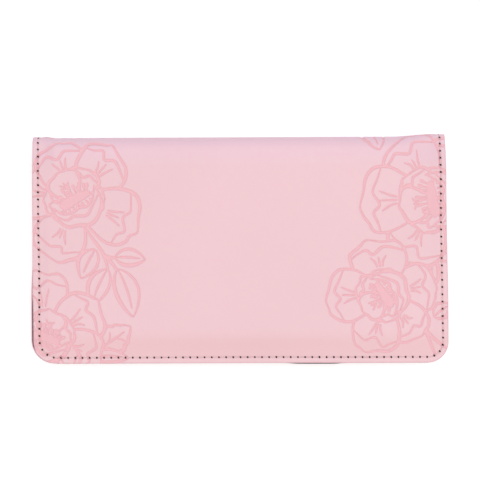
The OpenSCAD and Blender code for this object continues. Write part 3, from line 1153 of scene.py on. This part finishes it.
def frame_border(loop):
    """Where rays from the window's middle through the loop meet the frame's own outline."""
    cx, cs = window_x, (window_top + window_bottom) / 2
    border = []
    for x, s in loop:
        dx, ds = x - cx, s - cs
        reach = []
        if dx:
            reach.append(((half_w if dx > 0 else frame_left) - cx) / dx)
        if ds:
            reach.append(((cover_s if ds > 0 else card_mouth) - cs) / ds)
        far = min(reach)
        bx, bs = cx + dx * far, cs + ds * far
        past_x, past_s = bx - (half_w - right_r), bs - (cover_s - right_r)
        if past_x > 0 and past_s > 0:
            shrink = min(1, right_r / math.hypot(past_x, past_s))
            bx, bs = half_w - right_r + past_x * shrink, cover_s - right_r + past_s * shrink
        border.append((bx, bs))
    return np.array(border)


def clear_film(name):
    """Soft clear film with faint haze and rubbed streaks."""
    material, tree, shader = new_material(name)
    place = node(tree, "ShaderNodeTexCoord").outputs["Object"]
    haze = noise(tree, place, 120.0, 4.0, Distortion=1.5)
    tone = blend_colours(tree, spread_over(tree, haze, 0.3, 0.7, 0, 1), colour(240, 243, 245),
                         colour(250, 251, 252))
    surface(tree, shader, tone, spread_over(tree, haze, 0.3, 0.7, 0.05, 0.14), 0.9)
    tree.links.new(spread_over(tree, haze, 0.3, 0.7, 0.12, 0.18), shader.inputs["Alpha"])
    return material


opening = rounded_loop(0, 14)
window_frame = ringed_panel("window_frame_panel", opening, frame_border(opening),
                            card_d + film_t, card_t)
window_frame.data.materials.append(pocket_material)
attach(window_frame, "front_cover")
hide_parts("id_window_frame")

columns = np.linspace(window_x - window_w / 2 - film_lap, window_x + window_w / 2 + film_lap, 41)
film_x, film_s = sheet_grid(columns, steps((0, 1, 40)), 0 * columns + window_top - film_lap,
                            0 * columns + window_bottom + film_lap)
buckle = 0.05 * np.sin(film_x / 7) * np.sin(film_s / 9)
film_d = card_d + 0.06
film = closed_sheet("window_film", film_x, film_s, film_d + buckle, film_d + film_t * 0.6 + buckle, 1)
film.data.materials.append(clear_film("clear_film"))
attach(film, "front_cover")
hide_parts("id_window_film")

seam_loop = rounded_loop(hem_inset, 10)
inner_seam("window_seam", [seam_row([*seam_loop, seam_loop[0]], card_d + film_t + card_t)], 1,
           "front_cover", "id_window_stitching")

# ---------- Edge seams, inner side ----------
# The same two rows seen from inside. Here the dark bobbin thread lies along the lining, the
# pockets, the card panels and the window frame, and climbs over each of their edges.

bobbin_r = 0.17


def inner_face(x, s, side):
    """Depth of whatever lies innermost under the edge seam."""
    depth = pocket_d + pocket_t * (s > mouth_s)
    if side < 0:
        return depth
    slots = sum(s > card_mouth + step * card_step for step in range(3)) * card_t
    frame_there = (film_t + card_t) * (s > card_mouth) * (x > frame_left)
    return depth + np.where(x < slot_right, slots, frame_there)


for side, bends, name in halves:
    row = sew(name + "_edge_bobbin_row", seam_at, edge_holes[side],
              lambda x, s, side=side: inner_face(x, s, side), side, 1, bobbin_r)
    row.data.materials.append(bobbin_thread)
    bends(row)

# ---------- Table, light and camera ----------
# The wallet lies on a plain white table in a pale room, under one wide soft lamp. It is seen from
# straight above.


def seen_directly(tree):
    """1 for rays that show the white surroundings as they are, 0 for rays that gather light."""
    rays = node(tree, "ShaderNodeLightPath").outputs
    seen = combine(tree, "MAXIMUM", rays["Is Camera Ray"], rays["Is Glossy Ray"])
    return combine(tree, "MAXIMUM", seen, rays["Is Transmission Ray"])


# The table lies a little lower than the wallet, which is padded and opens flat over it.
table_reach, table_z = 4.0, -0.0006
tabletop = bpy.data.meshes.new("tabletop")
tabletop.from_pydata([(x * table_reach, y * table_reach, table_z)
                      for x, y in ((-1, -1), (1, -1), (1, 1), (-1, 1))], [], [(0, 1, 2, 3)])
table = finish_piece("tabletop", tabletop)
table_material, tree, shader = new_material("white_table")
tree.nodes.remove(shader)
matt = node(tree, "ShaderNodeBsdfDiffuse", {"Color": (0.86, 0.86, 0.86, 1)}).outputs[0]
# The far table is out of the lamp's reach, so it is lifted to white as well.
place = node(tree, "ShaderNodeTexCoord").outputs["Object"]
away = node(tree, "ShaderNodeVectorMath", {0: place}, operation="LENGTH").outputs["Value"]
lift = node(tree, "ShaderNodeEmission", {"Color": (1, 1, 1, 1),
                                         "Strength": spread_over(tree, away, 0.2, 0.9, 0.4, 1)})
lit = node(tree, "ShaderNodeAddShader", {0: matt, 1: lift.outputs[0]}).outputs[0]
mixed = node(tree, "ShaderNodeMixShader", {0: seen_directly(tree), 1: matt, 2: lit}).outputs[0]
tree.links.new(mixed, tree.nodes["Material Output"].inputs["Surface"])
tabletop.materials.append(table_material)

world = bpy.data.worlds.new("studio")
world.use_nodes = True
bpy.context.scene.world = world
tree = world.node_tree
from_where = node(tree, "ShaderNodeTexCoord").outputs["Generated"]
northward = node(tree, "ShaderNodeSeparateXYZ", {"Vector": from_where}).outputs["Y"]
# The room behind the fold is dimmer and cooler than the room in front.
room = blend_colours(tree, spread_over(tree, northward, -0.9, 0.0, 0, 1),
                     (1.0, 0.95, 0.93, 1), (1, 1, 1, 1))
room = blend_colours(tree, spread_over(tree, northward, 0.0, 0.9, 0, 1), room,
                     (0.74, 0.8, 1.0, 1))
soft = tree.nodes["Background"]
tree.links.new(room, soft.inputs["Color"])
soft.inputs["Strength"].default_value = 0.66
white = node(tree, "ShaderNodeBackground", {"Color": (1, 1, 1, 1), "Strength": 1.0}).outputs[0]
mixed = node(tree, "ShaderNodeMixShader",
             {0: seen_directly(tree), 1: soft.outputs[0], 2: white}).outputs[0]
tree.links.new(mixed, tree.nodes["World Output"].inputs["Surface"])

lamp = bpy.data.lights.new("overhead", "AREA")
lamp.shape = "SQUARE"
lamp.size = 0.9
lamp.energy = 7.1
lamp.color = (1, 0.952, 0.905)
holder = finish_piece("overhead", lamp)
holder.location = (0.1, 0.1, 1.3)
holder.rotation_euler = (-0.08, 0.08, 0)

# How much of the table the view takes in from top to bottom.
view_h = 205.785 * MM
camera = bpy.data.cameras.new("camera")
camera.lens = 100.0
camera.sensor_fit = "VERTICAL"
camera.sensor_height = 36.0
camera.clip_start = 0.01
distance = view_h * camera.lens / camera.sensor_height
holder = finish_piece("camera", camera)
holder.location = (-0.0001, 0.0004, closed_t * MM + distance)
# A quarter of a degree of roll, since the wallet does not lie quite square in the view.
holder.rotation_euler = (0, 0, -0.0044)
bpy.context.scene.camera = holder
bpy.context.scene.view_settings.view_transform = "Standard"
